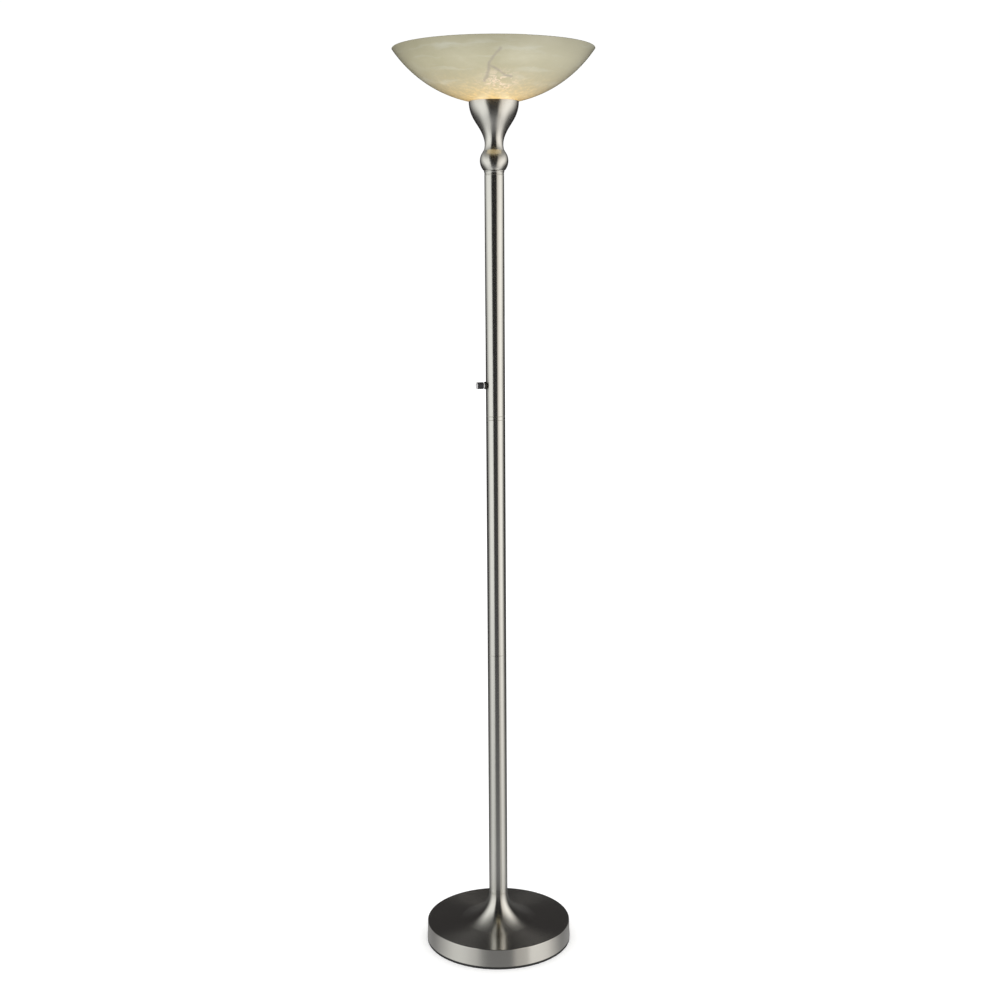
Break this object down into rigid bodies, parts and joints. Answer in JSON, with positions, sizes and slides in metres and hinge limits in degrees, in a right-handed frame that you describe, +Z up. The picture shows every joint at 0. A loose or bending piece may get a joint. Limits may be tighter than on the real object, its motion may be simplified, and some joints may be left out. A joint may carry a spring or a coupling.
{
  "type": "torchiere floor lamp",
  "caption": "Floor lamp that throws light upwards: weighted round base, screwed pole with a dimmer knob, turned neck and an open glass bowl round a screw-in bulb.",
  "frame": {"origin": "centre of the base's underside, on the floor", "axes": "+Z up along the pole; -X towards the dimmer knob; +Y towards the cord inlet at the back of the base"},
  "size_m": [0.3878, 0.3878, 1.8029],
  "materials": {
    "brushed_nickel": "brushed satin nickel plate",
    "spun_nickel": "spun and brushed satin nickel plate",
    "base_pad": "black closed-cell foam rubber",
    "cast_weight": "as cast, black dip paint",
    "zinc_hardware": "bright zinc plate",
    "black_plastic": "moulded, fine matte",
    "connector_plastic": "moulded orange",
    "porcelain": "glazed white porcelain",
    "brass": "drawn brass",
    "fibre": "vulcanised fibre",
    "soft_ring": "translucent silicone",
    "alabaster_glass": "alabaster glass, satin outside, veined",
    "bulb_glass": "inside-frosted",
    "clear_glass": "clear",
    "bulb_metal": "rolled thin aluminium",
    "insulator": "black vitrite",
    "tungsten": "drawn wire",
    "solder": "solder",
    "dimmer_case": "black phenolic",
    "dark_nut": "black oxide",
    "knob_black": "knurled black",
    "knob_light": "turned, light satin",
    "lead_black": "PVC insulation",
    "lead_white": "PVC insulation"
  },
  "bodies": {
    "stand": {"base_pad": "base_pad", "base_weight": "cast_weight", "base_cover": "spun_nickel", "base_nipple": "zinc_hardware", "base_lock_washer": "zinc_hardware", "base_lock_nut": "zinc_hardware", "cord_bushing": "black_plastic", "wire_connectors": "connector_plastic", "foot_coupling": "brushed_nickel", "lower_tube": "brushed_nickel", "middle_tube": "brushed_nickel", "joint_coupling": "brushed_nickel", "upper_tube": "brushed_nickel", "tube_inserts": "zinc_hardware", "joint_nipples": "zinc_hardware", "neck_coupling": "brushed_nickel", "neck_collar": "brushed_nickel", "neck_ball": "spun_nickel", "shade_cup": "spun_nickel", "stem_nipple": "zinc_hardware", "stem_washer": "zinc_hardware", "stem_nut": "zinc_hardware", "socket_base": "zinc_hardware", "socket_screws": "zinc_hardware", "socket_body": "porcelain", "socket_shell": "brass", "socket_contact": "brass", "socket_terminals": "brass", "shade_gaskets": "fibre", "shade_ring": "black_plastic", "glass_shade": "alabaster_glass", "cup_gasket": "soft_ring", "dimmer_body": "dimmer_case", "dimmer_terminals": "brass", "dimmer_bushing": "brass", "dimmer_washer": "dark_nut", "dimmer_nut": "dark_nut", "line_lead": "lead_black", "neutral_lead": "lead_white", "switched_lead": "lead_black"},
    "knob": {"dimmer_shaft": "brass", "knob_band": "knob_light", "knob_grip": "knob_black", "knob_cap": "knob_light"},
    "bulb": {"bulb_globe": "bulb_glass", "bulb_cap": "bulb_metal", "bulb_insulator": "insulator", "bulb_tip": "solder", "bulb_stem": "clear_glass", "bulb_filament": "tungsten"}
  },
  "joints": [
    {"name": "dimmer_turn", "type": "hinge", "parent": "stand", "child": "knob", "pos_m": [-0.01905, 0, 1.1605], "axis": [1, 0, 0], "range_deg": [-70, 210]},
    {"name": "bulb_out", "type": "slide", "parent": "stand", "child": "bulb", "axis": [0, 0, 1], "range_m": [0, 0.12]}
  ]
}
